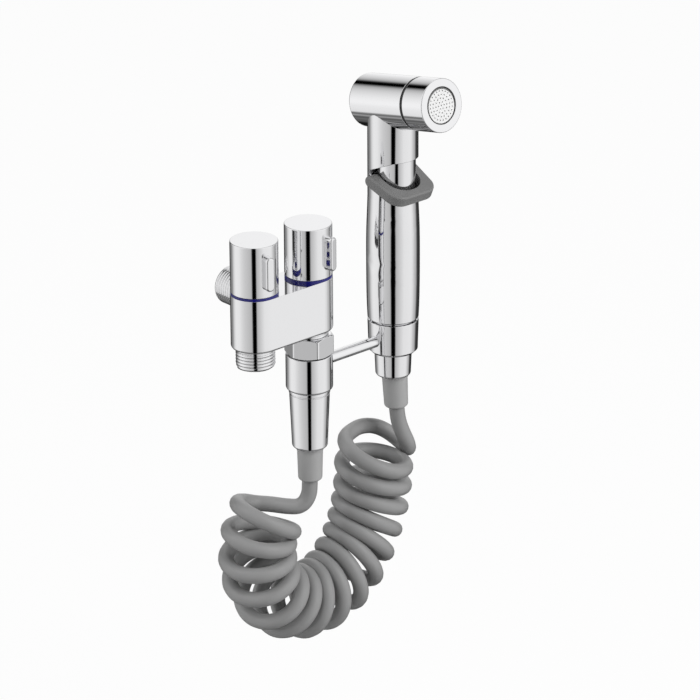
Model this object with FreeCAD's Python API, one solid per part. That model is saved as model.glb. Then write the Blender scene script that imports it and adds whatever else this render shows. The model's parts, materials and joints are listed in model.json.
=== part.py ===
"""Handheld bidet shower with a twin-knob angle valve, a holder, a curly hose and a trigger handset.

Millimetres, +Z up. The origin lies on the axis of the wall inlet, in the plane of the wall. X runs along the wall
from the left barrel to the handset, and -Y points out into the room. Threads are plain cylinders at their major
radius.
"""
import FreeCAD
import Part
import math
import os

from FreeCAD import Rotation, Vector

# Frame
inlet_drop = 12.6            # body's top above the inlet's axis
inlet_engaged = 14.0         # inlet thread behind the wall plane
inlet_reach = 44.4           # barrel axes to the inlet's end

# Half-inch pipe thread, shared by every water joint
thread_r = 10.4775
thread_chamfer = 1.0
thread_clearance = 0.12      # radial, nut over thread

# Valve body
barrel_pitch = 38.5
barrel_r = 13.25
body_height = 30.8
body_bottom_round = 1.8
inlet_thread = 18.0
inlet_neck_r = 9.7
inlet_bore_r = 6.5
cross_bore_r = 4.0
tank_thread = 11.2
tank_bore_r = 6.5
spray_thread = 9.7
spray_bore_r = 5.5
port_r = 4.5
port_floor = 3.0             # metal between the cartridge bore and the outlet bore

# Cartridges
cartridge_bore_r = 9.5
cartridge_fit = 0.15
cartridge_depth = 20.0
seal_height = 1.8
seal_bore_r = 5.0
disc_r = 6.5
disc_thickness = 2.5
disc_port_r = 4.6
disc_bridge = 2.4            # wall between a disc's two ports
disc_gap = 0.03
window_height = 4.6
window_width = 6.0
waist_r = 8.0
collar_r = 11.0
collar_height = 1.4
headwork_flats = 17.0
headwork_hex_height = 4.0
guide_r = 6.0
guide_top = 11.5             # above the body's top
guide_edge = 0.6
spindle_r = 3.0
spindle_running = 0.05
spindle_top = 19.0           # above the body's top
spindle_edge = 0.5
drive_height = 2.6

# Indicator rings and knobs
ring_height = 1.5
ring_bore_r = 11.4
knob_gap = 0.2
knob_r = 13.1
knob_height = 28.9
knob_wall = 2.0
knob_crown = 3.0
knob_edge = 0.5
knob_inner_round = 1.0
boss_r = 6.0
boss_lift = 12.2             # boss's foot above the body's top
lever_width = 5.0
lever_length = 19.4
lever_proud = 4.8
lever_end_round = 2.4        # nearly half the bar's width
lever_edge = 1.1
lever_turn = 10.5            # each lever's turn outwards from straight ahead, in degrees
grub_r = 1.5
grub_length = 4.0
grub_height = 15.5           # above the body's top

# Union nut and washer
nut_drop = 3.0               # bare thread between body and nut
nut_height = 11.35
nut_flats = 24.0
nut_lip = 1.3
nut_corner_round = 1.3
nut_turn = -50.0             # direction that one flat faces, from straight ahead, in degrees
washer_height = 1.5
washer_bore_r = 6.0
washer_play = 0.3            # radial, in a nut
tail_r = 7.4
tail_flange = 1.3
joint_gap = 0.1

# Holder
holder_gap = 0.3
holder_r = 13.0
holder_height = 20.5
holder_top_edge = 0.4
holder_bottom_round = 1.5
holder_bore_r = 5.0
stub_length = 8.8
arm_r = 3.2
arm_drop = 7.15              # arm's axis below the holder's top
spigot_r = 2.5
spigot_length = 5.0
spigot_fit = 0.02
cup_offset = 62.1            # right barrel's axis to the handset's axis
cup_above_arm = 10.8         # cup's rim above the arm's axis
cup_height = 19.1
cup_top_r = 14.26
cup_bottom_r = 13.7
cup_chamfer = 1.5
cup_edge = 0.4
cup_play = 0.12
slot_play = 1.2              # slot wider than the hose

# Hose nuts, tails and strain reliefs, the same at both ends
cone_length = 34.5
cone_rim_r = 11.4
cone_rim = 1.8
cone_groove = 0.4
cone_groove_height = 0.8
cone_top_r = 11.2
cone_bottom_r = 9.85
cone_bottom_round = 1.5
cone_edge = 0.3
hose_washer = 2.0
hose_tail_flange = 1.8
hose_tail_r = 6.0
hose_tail_plug = 3.4
barb_r = 2.6
barb_length = 20.5
barb_count = 4
barb_depth = 0.35
barb_bore_r = 1.6
relief_bore_r = 8.8
relief_r = 7.5
relief_end_r = 6.7
relief_below = 20.0
relief_round = 1.5
relief_step = 2.0            # shoulder below the nut's nose
relief_notch = 0.3
handset_lean = 3.5           # the handset's relief and hose lean towards +X, in degrees
hose_r = 4.4
hose_fit = 0.05
bend_share = 0.45            # part of the shorter run that a bend takes

# Handset body
rest_gap = 1.1               # handle's foot above the cup's rim
nut_gap = 0.2                # handle's foot above its hose nut
handle_foot_swell = 0.2      # handle's radius over the neck's, at its foot and then at each height above it
handle_swell = ((9.3, 0.6), (21.2, 0.8), (36.1, 0.85), (50.8, 0.75), (59.7, 0.45), (65.6, 0.2))
neck_start = 72.0
neck_r = 14.0
foot_edge = 0.4
handle_bore_r = 7.0
head_over_neck = 0.73        # head's radius over the neck's
head_lift = 125.6            # head's axis above the handle's foot, on the handle's axis
head_tilt = 11.1
head_back = 19.9
head_front = 39.6
head_edge = 1.0
head_wall = 3.0
head_bore_round = 2.0
groove_from_front = 15.9
groove_width = 1.8
groove_depth = 1.13
spigot_step = 1.73           # spigot's radius below the head's
spigot_wall = 1.5
spigot_head = 6.5
groove_ring_inset = 0.38
groove_ring_gap = 0.05
groove_ring_round = 0.3

# Spray face
cap_front_wall = 2.0
cap_opening_r = 10.25
cap_edge = 0.5
cap_back_edge = 0.3
cap_lip_edge = 0.2
cap_fit = 0.1
plate_gap = 0.05
plate_play = 0.3             # radial, in the spigot
plate_rim = 1.8
plate_face_r = 9.7
plate_recess = 0.3
plate_wall = 1.2
plate_edge = 0.2
spray_hole_r = 0.4
spray_ring_step = 2.0
spray_rings = 4
head_seal_width = 1.6

# Trigger and its recess
core_r = 10.5
core_shift = 3.0             # core's axis ahead of the handset's axis
pivot_back = 0.86            # pivot behind the handset's axis
pivot_lift = 82.8            # pivot above the handle's foot
trigger_tilt = 22.0
trigger_height = 6.4
trigger_half_back = 17.5
trigger_half_front = 15.3
trigger_reach = 22.3
trigger_corner = 8.6
trigger_side_gap = 0.7       # limbs clear of the core
trigger_front_gap = 0.4      # front bar clear of the core
trigger_inner_flat = 0.6     # straight part of half the inner front
trigger_edge = 1.1           # round along the stirrup's outer edges
trigger_swing = 20.0
recess_gap = 0.4
limb_end_round = 3.1         # nearly half the trigger's height
slot_end_round = 1.08
recess_back_r = 4.7
recess_back_rise = 5.8       # top edge at the recess's back, above the pivot
recess_mid_rise = 11.5       # top edge near the front
recess_front_rise = 12.2
recess_mid_forward = 10.4    # the bend in the top edge, ahead of the handset's axis
recess_back_drop = 1.0
recess_low_round = 2.5
recess_back_round = 2.0
pivot_r = 1.25
pivot_fit = 0.05
pivot_into_limb = 2.6

# Plunger
plunger_forward = 4.6        # plunger's axis ahead of the handset's axis
stem_r = 1.5
stem_fit = 0.05
seat_below_pivot = 16.0
seat_height = 3.5
seat_r = 5.0
seat_hole_r = 2.5
chamber_r = 4.8
chamber_height = 8.0
plunger_seal_r = 3.9
plunger_seal_height = 2.0
stem_collar = 1.2
stem_collar_inset = 0.6
spring_seat_above_pivot = 3.0
spring_bore_r = 3.2
spring_wire_r = 0.35
spring_coil_r = 2.6
spring_length = 10.0
spring_turns = 6
plug_height = 3.0
cross_pin_r = 1.0
cross_slot_play = 0.2
cross_pin_into_limb = 1.6
bypass_r = 1.8
bypass_back = 5.9

# Coil
coil_r = 21.9

# Worked-out levels and places
barrel_y = inlet_engaged - inlet_reach
left_x = -barrel_pitch / 2
right_x = barrel_pitch / 2
body_top = inlet_drop
body_bottom = body_top - body_height
knob_foot = body_top + ring_height + knob_gap
nut_top = body_bottom - nut_drop
nut_bottom = nut_top - nut_height
holder_top = nut_bottom - holder_gap
holder_bottom = holder_top - holder_height
valve_cone_top = holder_bottom - holder_gap
spray_thread_end = body_bottom - spray_thread
handset_x = right_x + cup_offset
arm_z = holder_top - arm_drop
cup_top = arm_z + cup_above_arm
handle_foot = cup_top + rest_gap
handset_cone_top = handle_foot - nut_gap
pivot_y = barrel_y + pivot_back
pivot_z = handle_foot + pivot_lift
plunger_y = barrel_y - plunger_forward
head_z = handle_foot + head_lift
tilt = math.radians(head_tilt)
head_direction = Vector(0, -math.cos(tilt), math.sin(tilt))
head_centre = Vector(handset_x, barrel_y, head_z)
head_r = neck_r + head_over_neck
groove_r = head_r - groove_depth
groove_ring_r = head_r - groove_ring_inset
spigot_head_r = head_r - spigot_step
head_bore_r = spigot_head_r - spigot_wall
plate_rim_r = spigot_head_r - plate_play
slope = math.radians(trigger_tilt)
trigger_inner_half = core_r + trigger_side_gap
trigger_inner_corner = trigger_inner_half - trigger_inner_flat
core_reach = pivot_back + core_shift + core_r
trigger_inner_reach = (core_reach + trigger_front_gap + trigger_height / 2 * math.sin(slope)) / math.cos(slope)

# Lower ends of the two strain reliefs, which the hose's line runs between
valve_exit = Vector(right_x, barrel_y, valve_cone_top - cone_length - relief_below)
handset_exit = Vector(handset_x, barrel_y, handset_cone_top - cone_length - relief_below)


def hose_line(rows):
    """Points of the hose from (share, x, y, z) rows: offsets from a place that share of the way between the exits."""
    return [valve_exit + (handset_exit - valve_exit) * row[0] + Vector(*row[1:]) for row in rows]


valve_lead = hose_line([
    (0, 0, 0, 10.15), (0, 0, 0, -6.35), (0, -3.75, 3.2, -12.85), (0, -11.25, 8.4, -14.35),
    (0, -18.25, 12.9, -13.35),
])
coil_axis = hose_line([
    (0, -30.45, 0, -2.95), (0, -37.65, 0, -19.65), (0, -39.95, 0, -37.95), (0.1, -38.96, 0, -60.29),
    (0.2, -31.87, 0, -76.02), (0.4, -23.39, 0, -86.39), (0.6, -18.01, 0, -83.56), (0.8, -16.73, 0, -71.43),
    (0.9, -13.74, 0, -55.47), (1, -14.65, 0, -37.6), (1, -12.75, 0, -17.0),
])
handset_lead = hose_line([
    (1, 1.63, 0, 11.8), (1, 2.62, 0, -4.4), (1, 4.25, -2.6, -13.7), (1, 3.65, -8.1, -20.7),
])


def save(node, shape):
    """Write one solid, or a group of solids, to its STEP file."""
    if not shape.isValid():
        raise ValueError(node + " is not a valid shape")
    shape.exportStep("parts/" + node + ".step")
    print(node, "solids", len(shape.Solids), "volume", round(shape.Volume, 1))


def corner_points(before, corner, after, radius):
    """Start, middle and end of the arc that rounds a corner, or None for a sharp one."""
    if radius <= 0:
        return None
    to_before = (before - corner).normalize()
    to_after = (after - corner).normalize()
    half = to_before.getAngle(to_after) / 2
    bisector = (to_before + to_after).normalize()
    reach = radius / math.tan(half)
    middle = corner + bisector * (radius / math.sin(half) - radius)
    return corner + to_before * reach, middle, corner + to_after * reach


def rounded_wire(points, place):
    """Closed wire through (u, v) or (u, v, radius) points, set in space by place(u, v)."""
    corners = [place(point[0], point[1]) for point in points]
    radii = [point[2] if len(point) > 2 else 0 for point in points]
    count = len(corners)
    rounds = []
    for i in range(count):
        rounds.append(corner_points(corners[i - 1], corners[i], corners[(i + 1) % count], radii[i]))
    edges = []
    for i in range(count):
        following = (i + 1) % count
        start = rounds[i][2] if rounds[i] else corners[i]
        end = rounds[following][0] if rounds[following] else corners[following]
        if start.distanceToPoint(end) > 1e-6:
            edges.append(Part.LineSegment(start, end).toShape())
        if rounds[following]:
            edges.append(Part.Arc(*rounds[following]).toShape())
    return Part.Wire(edges)


def turned(points, x=0.0, y=0.0):
    """Revolve an (r, z) outline about the vertical axis at x, y."""
    wire = rounded_wire(points, lambda r, z: Vector(r, 0, z))
    solid = Part.Face(wire).revolve(Vector(0, 0, 0), Vector(0, 0, 1), 360)
    solid.translate(Vector(x, y, 0))
    return solid


def ring(outer_r, bore_r, bottom, top, x, y):
    """Plain ring with a vertical axis."""
    return turned([(bore_r, bottom), (outer_r, bottom), (outer_r, top), (bore_r, top)], x, y)


def rod(radius, start, end):
    """Plain cylinder from one point to another."""
    return Part.makeCylinder(radius, start.distanceToPoint(end), start, end - start)


def upright(radius, bottom, top, x, y):
    """Plain cylinder with a vertical axis."""
    return rod(radius, Vector(x, y, bottom), Vector(x, y, top))


def prism(points, depth, place, direction):
    """Extrude a rounded outline by depth along a direction, from half the depth behind it."""
    face = Part.Face(rounded_wire(points, place))
    face.translate(direction * (-depth / 2))
    return face.extrude(direction * depth)


def hexagon(flats, bottom, top, x, y, turn):
    """Hexagonal bar with one flat's normal turned from -Y about Z, in degrees."""
    corner_r = flats / math.sqrt(3)
    corners = []
    for i in range(7):
        angle = math.radians(turn - 90 + 30 + 60 * i)
        corners.append(Vector(x + corner_r * math.cos(angle), y + corner_r * math.sin(angle), bottom))
    return Part.Face(Part.makePolygon(corners)).extrude(Vector(0, 0, top - bottom))


def thread_stub(start, direction, length):
    """Male half-inch thread as a plain cylinder with a chamfered end."""
    plain = length - thread_chamfer
    stub = Part.makeCylinder(thread_r, plain, start, direction)
    cone = Part.makeCone(thread_r, thread_r - thread_chamfer, thread_chamfer, start + direction * plain, direction)
    return stub.fuse(cone)


def aimed(shape, origin, direction):
    """Place a shape that was made on the Z axis so that Z follows a direction."""
    shape.Placement = FreeCAD.Placement(origin, Rotation(Vector(0, 0, 1), direction))
    return shape


def valve_body():
    """Casting: two barrels and the web between them, the wall inlet and the two outlets."""
    outline = [
        (left_x - barrel_r, -barrel_r, barrel_r), (right_x + barrel_r, -barrel_r, barrel_r),
        (right_x + barrel_r, barrel_r, barrel_r), (left_x - barrel_r, barrel_r, barrel_r),
    ]
    middle = Vector(0, barrel_y, (body_top + body_bottom) / 2)
    block = prism(outline, body_height, lambda u, v: middle + Vector(u, v, 0), Vector(0, 0, 1))
    bottom_edges = [edge for edge in block.Edges if edge.BoundBox.ZMax < body_bottom + 1e-6]
    body = block.makeFillet(body_bottom_round, bottom_edges)

    inlet_end = inlet_engaged
    thread_start = inlet_end - inlet_thread
    body = body.fuse([
        rod(inlet_neck_r, Vector(0, barrel_y, 0), Vector(0, thread_start, 0)),
        thread_stub(Vector(0, thread_start, 0), Vector(0, 1, 0), inlet_thread),
        thread_stub(Vector(left_x, barrel_y, body_bottom), Vector(0, 0, -1), tank_thread),
        thread_stub(Vector(right_x, barrel_y, body_bottom), Vector(0, 0, -1), spray_thread),
    ])

    bore_floor = body_top - cartridge_depth
    cuts = [
        rod(inlet_bore_r, Vector(0, barrel_y, 0), Vector(0, inlet_end, 0)),
        rod(cross_bore_r, Vector(left_x, barrel_y, 0), Vector(right_x, barrel_y, 0)),
    ]
    for x, outlet_r, outlet_end in ((left_x, tank_bore_r, body_bottom - tank_thread),
                                    (right_x, spray_bore_r, spray_thread_end)):
        cuts.append(upright(cartridge_bore_r, bore_floor, body_top, x, barrel_y))
        cuts.append(upright(port_r, bore_floor - port_floor, bore_floor, x, barrel_y))
        cuts.append(upright(outlet_r, outlet_end, bore_floor - port_floor, x, barrel_y))
    return body.cut(cuts).removeSplitter()


def port_seal(x):
    """Rubber ring under a cartridge."""
    floor = body_top - cartridge_depth
    return ring(cartridge_bore_r - 2 * cartridge_fit, seal_bore_r, floor, floor + seal_height, x, barrel_y)


def ceramic_disc(bottom, x):
    """Ceramic disc with two half-moon ports."""
    disc = upright(disc_r, bottom, bottom + disc_thickness, x, barrel_y)
    port = upright(disc_port_r, bottom, bottom + disc_thickness, x, barrel_y)
    bridge = Part.makeBox(4 * disc_r, disc_bridge, 2 * disc_thickness,
                          Vector(x - 2 * disc_r, barrel_y - disc_bridge / 2, bottom - disc_thickness / 2))
    quarter = Part.makeBox(disc_r, 2 * disc_r, 2 * disc_thickness,
                           Vector(x, barrel_y - disc_r, bottom - disc_thickness / 2))
    return disc.cut(port.cut([bridge, quarter]))


def cartridge_levels():
    """Heights inside a cartridge, from its foot upwards."""
    foot = body_top - cartridge_depth + seal_height
    fixed_top = foot + disc_thickness
    moving_bottom = fixed_top + disc_gap
    drive_bottom = moving_bottom + disc_thickness + disc_gap
    return foot, fixed_top, moving_bottom, drive_bottom


def headwork(x):
    """Brass cartridge body: windows for the water, a collar, a hexagon and the spindle's guide."""
    foot, _, _, drive_bottom = cartridge_levels()
    outer_r = cartridge_bore_r - cartridge_fit
    waist_bottom = foot + disc_thickness
    waist_top = body_top - cartridge_depth / 3
    shell = turned([
        (0, foot), (outer_r, foot), (outer_r, waist_bottom), (waist_r, waist_bottom), (waist_r, waist_top),
        (outer_r, waist_top), (outer_r, body_top), (collar_r, body_top), (collar_r, body_top + collar_height),
        (guide_r, body_top + collar_height), (guide_r, body_top + guide_top, guide_edge), (0, body_top + guide_top),
    ], x, barrel_y)
    hex_bottom = body_top + collar_height
    shell = shell.fuse(hexagon(headwork_flats, hex_bottom, hex_bottom + headwork_hex_height, x, barrel_y, 0))
    cavity_r = disc_r + spindle_running
    cavity_top = drive_bottom + drive_height + spindle_running
    window_bottom = (waist_bottom + waist_top - window_height) / 2
    window = Part.makeBox(3 * disc_r, window_width, window_height,
                          Vector(x - 3 * disc_r / 2, barrel_y - window_width / 2, window_bottom))
    return shell.cut([
        upright(cavity_r, foot, cavity_top, x, barrel_y),
        upright(spindle_r + spindle_running, foot, body_top + guide_top, x, barrel_y),
        window,
    ]).removeSplitter()


def spindle(x):
    """Spindle with the drive plate that turns the moving disc."""
    _, _, _, drive_bottom = cartridge_levels()
    top = body_top + spindle_top
    return turned([
        (0, drive_bottom), (disc_r, drive_bottom), (disc_r, drive_bottom + drive_height),
        (spindle_r, drive_bottom + drive_height), (spindle_r, top, spindle_edge), (0, top),
    ], x, barrel_y)


def indicator_ring(x):
    """Blue ring between a barrel and its knob."""
    return ring(knob_r, ring_bore_r, body_top, body_top + ring_height, x, barrel_y)


def knob(x, lever_direction):
    """Hollow knob with a boss for the spindle and a finger bar, which points lever_direction degrees from -Y."""
    top = knob_foot + knob_height
    ceiling = top - knob_crown
    inner_r = knob_r - knob_wall
    boss_foot = body_top + boss_lift
    shell = turned([
        (inner_r, knob_foot), (knob_r, knob_foot), (knob_r, top, knob_edge), (0, top), (0, boss_foot),
        (boss_r, boss_foot), (boss_r, ceiling, knob_inner_round), (inner_r, ceiling, knob_inner_round),
    ])
    lever_z = (knob_foot + top) / 2
    half_width = lever_width / 2
    half_length = lever_length / 2
    base = knob_r - knob_wall / 2
    bar_depth = knob_r + lever_proud - base
    outline = [
        (-half_width, -half_length, lever_end_round), (half_width, -half_length, lever_end_round),
        (half_width, half_length, lever_end_round), (-half_width, half_length, lever_end_round),
    ]
    middle = Vector(0, -(base + bar_depth / 2), lever_z)
    bar = prism(outline, bar_depth, lambda u, v: middle + Vector(u, 0, v), Vector(0, 1, 0))
    front_edges = [edge for edge in bar.Edges if edge.BoundBox.YMax < -(knob_r + lever_proud) + 1e-6]
    bar = bar.makeFillet(lever_edge, front_edges)
    grub_z = body_top + grub_height
    shell = shell.fuse(bar).cut([
        upright(spindle_r + spindle_running, boss_foot, body_top + spindle_top + spindle_running, 0, 0),
        rod(grub_r, Vector(0, 0, grub_z), Vector(0, knob_r, grub_z)),
    ])
    shell.rotate(Vector(0, 0, 0), Vector(0, 0, 1), lever_direction)
    shell.translate(Vector(x, barrel_y, 0))
    return shell


def grub_screw(x, lever_direction):
    """Set screw that holds a knob on its spindle, opposite the finger bar."""
    start = spindle_r + spindle_running
    grub_z = body_top + grub_height
    screw = rod(grub_r, Vector(0, start, grub_z), Vector(0, start + grub_length, grub_z))
    socket = rod(grub_r / 2, Vector(0, start + grub_length / 2, grub_z), Vector(0, start + grub_length, grub_z))
    screw = screw.cut(socket)
    screw.rotate(Vector(0, 0, 0), Vector(0, 0, 1), lever_direction)
    screw.translate(Vector(x, barrel_y, 0))
    return screw


def union_nut():
    """Hexagonal nut with chamfered corners, open at the top and lipped at the bottom."""
    bar = hexagon(nut_flats, nut_bottom, nut_top, right_x, barrel_y, nut_turn)
    corners = [edge for edge in bar.Edges if edge.BoundBox.ZLength > nut_height / 2]
    bar = bar.makeFillet(nut_corner_round, corners)
    corner_r = nut_flats / math.sqrt(3)
    drop = corner_r - nut_flats / 2
    rounded = turned([
        (0, nut_bottom), (corner_r - drop, nut_bottom), (corner_r, nut_bottom + drop / 2),
        (corner_r, nut_top - drop / 2), (corner_r - drop, nut_top), (0, nut_top),
    ], right_x, barrel_y)
    lip_top = nut_bottom + nut_lip
    return bar.common(rounded).cut([
        upright(thread_r + thread_clearance, lip_top, nut_top, right_x, barrel_y),
        upright(tail_r + joint_gap, nut_bottom, lip_top, right_x, barrel_y),
    ])


def union_washer():
    """Rubber washer between the spray outlet and the holder's tail."""
    bottom = spray_thread_end - washer_height
    return ring(thread_r - washer_play, washer_bore_r, bottom, spray_thread_end, right_x, barrel_y)


def holder_body():
    """Turned body that the union nut holds up: tail, waterway, lower thread and the arm's socket."""
    flange_top = spray_thread_end - washer_height
    flange_bottom = nut_bottom + nut_lip + joint_gap
    solid = turned([
        (0, holder_bottom), (holder_r, holder_bottom, holder_bottom_round), (holder_r, holder_top, holder_top_edge),
        (tail_r, holder_top), (tail_r, flange_bottom), (thread_r, flange_bottom), (thread_r, flange_top),
        (0, flange_top),
    ], right_x, barrel_y)
    solid = solid.fuse(thread_stub(Vector(right_x, barrel_y, holder_bottom), Vector(0, 0, -1), stub_length))
    surface = Vector(right_x + holder_r, barrel_y, arm_z)
    return solid.cut([
        upright(holder_bore_r, holder_bottom - stub_length, flange_top, right_x, barrel_y),
        rod(spigot_r + spigot_fit, surface - Vector(spigot_length, 0, 0), surface),
    ])


def cone_r_at(drop):
    """Radius of a hose nut's cone at a drop below its top."""
    return cone_top_r + (cone_bottom_r - cone_top_r) * (drop - cone_rim) / (cone_length - cone_rim)


def cup_r_at(z):
    """Outer radius of the cup at a height."""
    return cup_top_r + (cup_bottom_r - cup_top_r) * (cup_top - z) / cup_height


def holder_arm():
    """Rod from the holder body to the cup, with a spigot at each end."""
    start = right_x + holder_r
    end = handset_x - cup_r_at(arm_z)
    holder_sag = holder_r - math.sqrt(holder_r ** 2 - arm_r ** 2)
    cup_sag = cup_top_r - math.sqrt(cup_top_r ** 2 - arm_r ** 2)
    bar = rod(arm_r, Vector(start - holder_sag, barrel_y, arm_z), Vector(end + cup_sag, barrel_y, arm_z))
    bar = bar.cut([
        upright(holder_r + joint_gap / 2, arm_z - 2 * arm_r, arm_z + 2 * arm_r, right_x, barrel_y),
        upright(cup_r_at(arm_z + arm_r) + joint_gap / 2, arm_z - 2 * arm_r, arm_z + 2 * arm_r, handset_x, barrel_y),
    ])
    spigot = rod(spigot_r, Vector(start - spigot_length + joint_gap, barrel_y, arm_z),
                 Vector(end + spigot_length / 2, barrel_y, arm_z))
    cup_hole = upright(cone_r_at(arm_seat_drop()) + cup_play, arm_z - 2 * arm_r, arm_z + 2 * arm_r,
                       handset_x, barrel_y)
    return bar.fuse(spigot.cut(cup_hole))


def arm_seat_drop():
    """Depth of the arm's axis below the top of the handset's hose nut."""
    return handset_cone_top - arm_z + arm_r


def holder_cup():
    """Cup with a conical seat for the handset's hose nut and a slot for the hose."""
    bottom = cup_top - cup_height
    seat_top = handset_cone_top - cone_rim
    shell = turned([
        (cone_r_at(handset_cone_top - bottom) + cup_play, bottom), (cup_bottom_r, bottom, 0),
        (cup_top_r, cup_top, cup_edge), (cone_rim_r + cup_play, cup_top),
        (cone_rim_r + cup_play, seat_top), (cone_top_r + cup_play, seat_top),
    ], handset_x, barrel_y)
    outer_bottom = [edge for edge in shell.Edges
                    if edge.BoundBox.ZMax < bottom + 1e-6 and edge.BoundBox.XLength > 2 * cup_bottom_r - 1e-6]
    shell = shell.makeChamfer(cup_chamfer, outer_bottom)
    width = 2 * hose_r + slot_play
    slot = Part.makeBox(2 * cup_top_r, width, 2 * cup_height,
                        Vector(handset_x, barrel_y - width / 2, bottom - cup_height / 2))
    end = handset_x - cup_r_at(arm_z)
    socket = rod(spigot_r + spigot_fit, Vector(end - arm_r, barrel_y, arm_z), Vector(handset_x, barrel_y, arm_z))
    return shell.cut([slot, socket])


def hose_nut(top, x):
    """Conical nut: a rim, a fine groove and a cone that ends in a rounded nose."""
    groove_z = top - cone_rim
    bottom = top - cone_length
    shoulder = top - stub_length - hose_washer - hose_tail_flange - joint_gap
    return turned([
        (thread_r + thread_clearance, top), (cone_rim_r, top, cone_edge), (cone_rim_r, groove_z),
        (cone_top_r - cone_groove, groove_z), (cone_top_r - cone_groove, groove_z - cone_groove_height),
        (cone_r_at(cone_rim + cone_groove_height), groove_z - cone_groove_height),
        (cone_bottom_r, bottom, cone_bottom_round),
        (relief_bore_r, bottom), (relief_bore_r, shoulder), (thread_r + thread_clearance, shoulder),
    ], x, barrel_y)


def hose_washer_ring(top, x):
    """Rubber washer inside a hose nut."""
    seat = top - stub_length
    return ring(thread_r - washer_play, holder_bore_r, seat - hose_washer, seat, x, barrel_y)


def tail_foot(top):
    """Underside of a hose tail's flange."""
    return top - stub_length - hose_washer - hose_tail_flange


def hose_tail(top, x):
    """Brass tail with a flange and four barbs, which the hose is pushed over."""
    flange_bottom = tail_foot(top)
    flange_top = flange_bottom + hose_tail_flange
    plug_bottom = flange_bottom - hose_tail_plug
    outline = [
        (barb_bore_r, flange_top), (thread_r, flange_top), (thread_r, flange_bottom), (hose_tail_r, flange_bottom),
        (hose_tail_r, plug_bottom),
    ]
    step = barb_length / barb_count
    for i in range(barb_count):
        outline.append((barb_r, plug_bottom - step * i))
        outline.append((barb_r - barb_depth, plug_bottom - step * (i + 1)))
    outline.append((barb_bore_r, plug_bottom - barb_length))
    return turned(outline, x, barrel_y)


def strain_relief(top, x, lean):
    """Rubber sleeve that leaves the nut as a rounded shoulder and tapers down the hose, leaning by some degrees."""
    nut_end = top - cone_length
    start = tail_foot(top) - hose_tail_plug - joint_gap - relief_r * math.tan(math.radians(lean))
    bottom = nut_end - relief_below
    sleeve = turned([
        (hose_r + hose_fit, start), (relief_r, start), (relief_r, nut_end - relief_step),
        (relief_r - relief_notch, nut_end - relief_step, 0), (relief_end_r, bottom, relief_round),
        (hose_r + hose_fit, bottom),
    ], x, barrel_y)
    sleeve.rotate(Vector(x, barrel_y, start), Vector(0, 1, 0), -lean)
    return sleeve


def bent_path(points):
    """Straight runs joined by tangent arcs, each as large as its two runs allow."""
    edges = []
    start = points[0]
    radii = []
    for before, corner, after in zip(points, points[1:], points[2:]):
        half_turn = (corner - before).getAngle(after - corner) / 2
        shorter = min(before.distanceToPoint(corner), corner.distanceToPoint(after))
        radius = bend_share * shorter / math.tan(half_turn)
        radii.append(round(radius, 1))
        arc_start, middle, arc_end = corner_points(before, corner, after, radius)
        edges.append(Part.LineSegment(start, arc_start).toShape())
        edges.append(Part.Arc(arc_start, middle, arc_end).toShape())
        start = arc_end
    edges.append(Part.LineSegment(start, points[-1]).toShape())
    print("bend radii", radii)
    return Part.Wire(edges)


def tube(points, radius):
    """Round bar along a bent path."""
    path = bent_path(points)
    section = Part.Wire([Part.makeCircle(radius, points[0], points[1] - points[0])])
    solid = path.makePipeShell([section], True, False)
    print("length", round(path.Length, 1), "section times length over volume",
          round(math.pi * radius ** 2 * path.Length / solid.Volume, 4))
    return solid


def handle():
    """Handle and neck as one turned form with a swelling grip."""
    grip = [Vector(neck_r + handle_foot_swell, 0, handle_foot)]
    grip += [Vector(neck_r + swell, 0, handle_foot + lift) for lift, swell in handle_swell]
    grip.append(Vector(neck_r, 0, handle_foot + neck_start))
    curve = Part.BSplineCurve()
    curve.interpolate(grip)
    neck_top = Vector(neck_r, 0, head_z)
    axis_top = Vector(0, 0, head_z)
    axis_foot = Vector(0, 0, handle_foot)
    wire = Part.Wire([
        curve.toShape(), Part.LineSegment(grip[-1], neck_top).toShape(),
        Part.LineSegment(neck_top, axis_top).toShape(), Part.LineSegment(axis_top, axis_foot).toShape(),
        Part.LineSegment(axis_foot, grip[0]).toShape(),
    ])
    solid = Part.Face(wire).revolve(Vector(0, 0, 0), Vector(0, 0, 1), 360)
    foot_edges = [edge for edge in solid.Edges if edge.BoundBox.ZMax < handle_foot + 1e-6]
    solid = solid.makeChamfer(foot_edge, foot_edges)
    solid.translate(Vector(handset_x, barrel_y, 0))
    return solid


def trigger_plane(forward, up):
    """Point in the trigger's side view: forward along its plane from the pivot, and up from that plane."""
    return Vector(0, pivot_y - forward * math.cos(slope) - up * math.sin(slope),
                  pivot_z - forward * math.sin(slope) + up * math.cos(slope))


def trigger_recess():
    """Fan-shaped space round the neck's core, in which the trigger swings."""
    floor = -(trigger_height / 2 + recess_gap)
    front = trigger_plane(trigger_reach, floor)
    back_low = trigger_plane(-recess_back_r, floor)
    back_y = pivot_y + recess_back_r
    outline = [
        (front.y, front.z), (back_low.y, back_low.z, recess_low_round),
        (back_y, pivot_z + recess_back_rise - recess_back_drop, recess_back_round),
        (barrel_y - recess_mid_forward, pivot_z + recess_mid_rise), (front.y, pivot_z + recess_front_rise),
    ]
    fan = prism(outline, 4 * neck_r, lambda y, z: Vector(handset_x, y, z), Vector(1, 0, 0))
    core = upright(core_r, front.z - trigger_height, pivot_z + recess_front_rise + trigger_height,
                   handset_x, barrel_y - core_shift)
    return fan.cut(core)


def plunger_levels():
    """Heights of the valve inside the neck, from the seat upwards."""
    seat_bottom = pivot_z - seat_below_pivot
    seat_top = seat_bottom + seat_height
    chamber_top = seat_top + chamber_height
    spring_floor = pivot_z + spring_seat_above_pivot
    return seat_bottom, seat_top, chamber_top, spring_floor


def cross_pin_z():
    """Height of the plunger's cross pin, on the trigger's mid-plane."""
    return pivot_z - (pivot_back + plunger_forward) * math.tan(slope)


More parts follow.
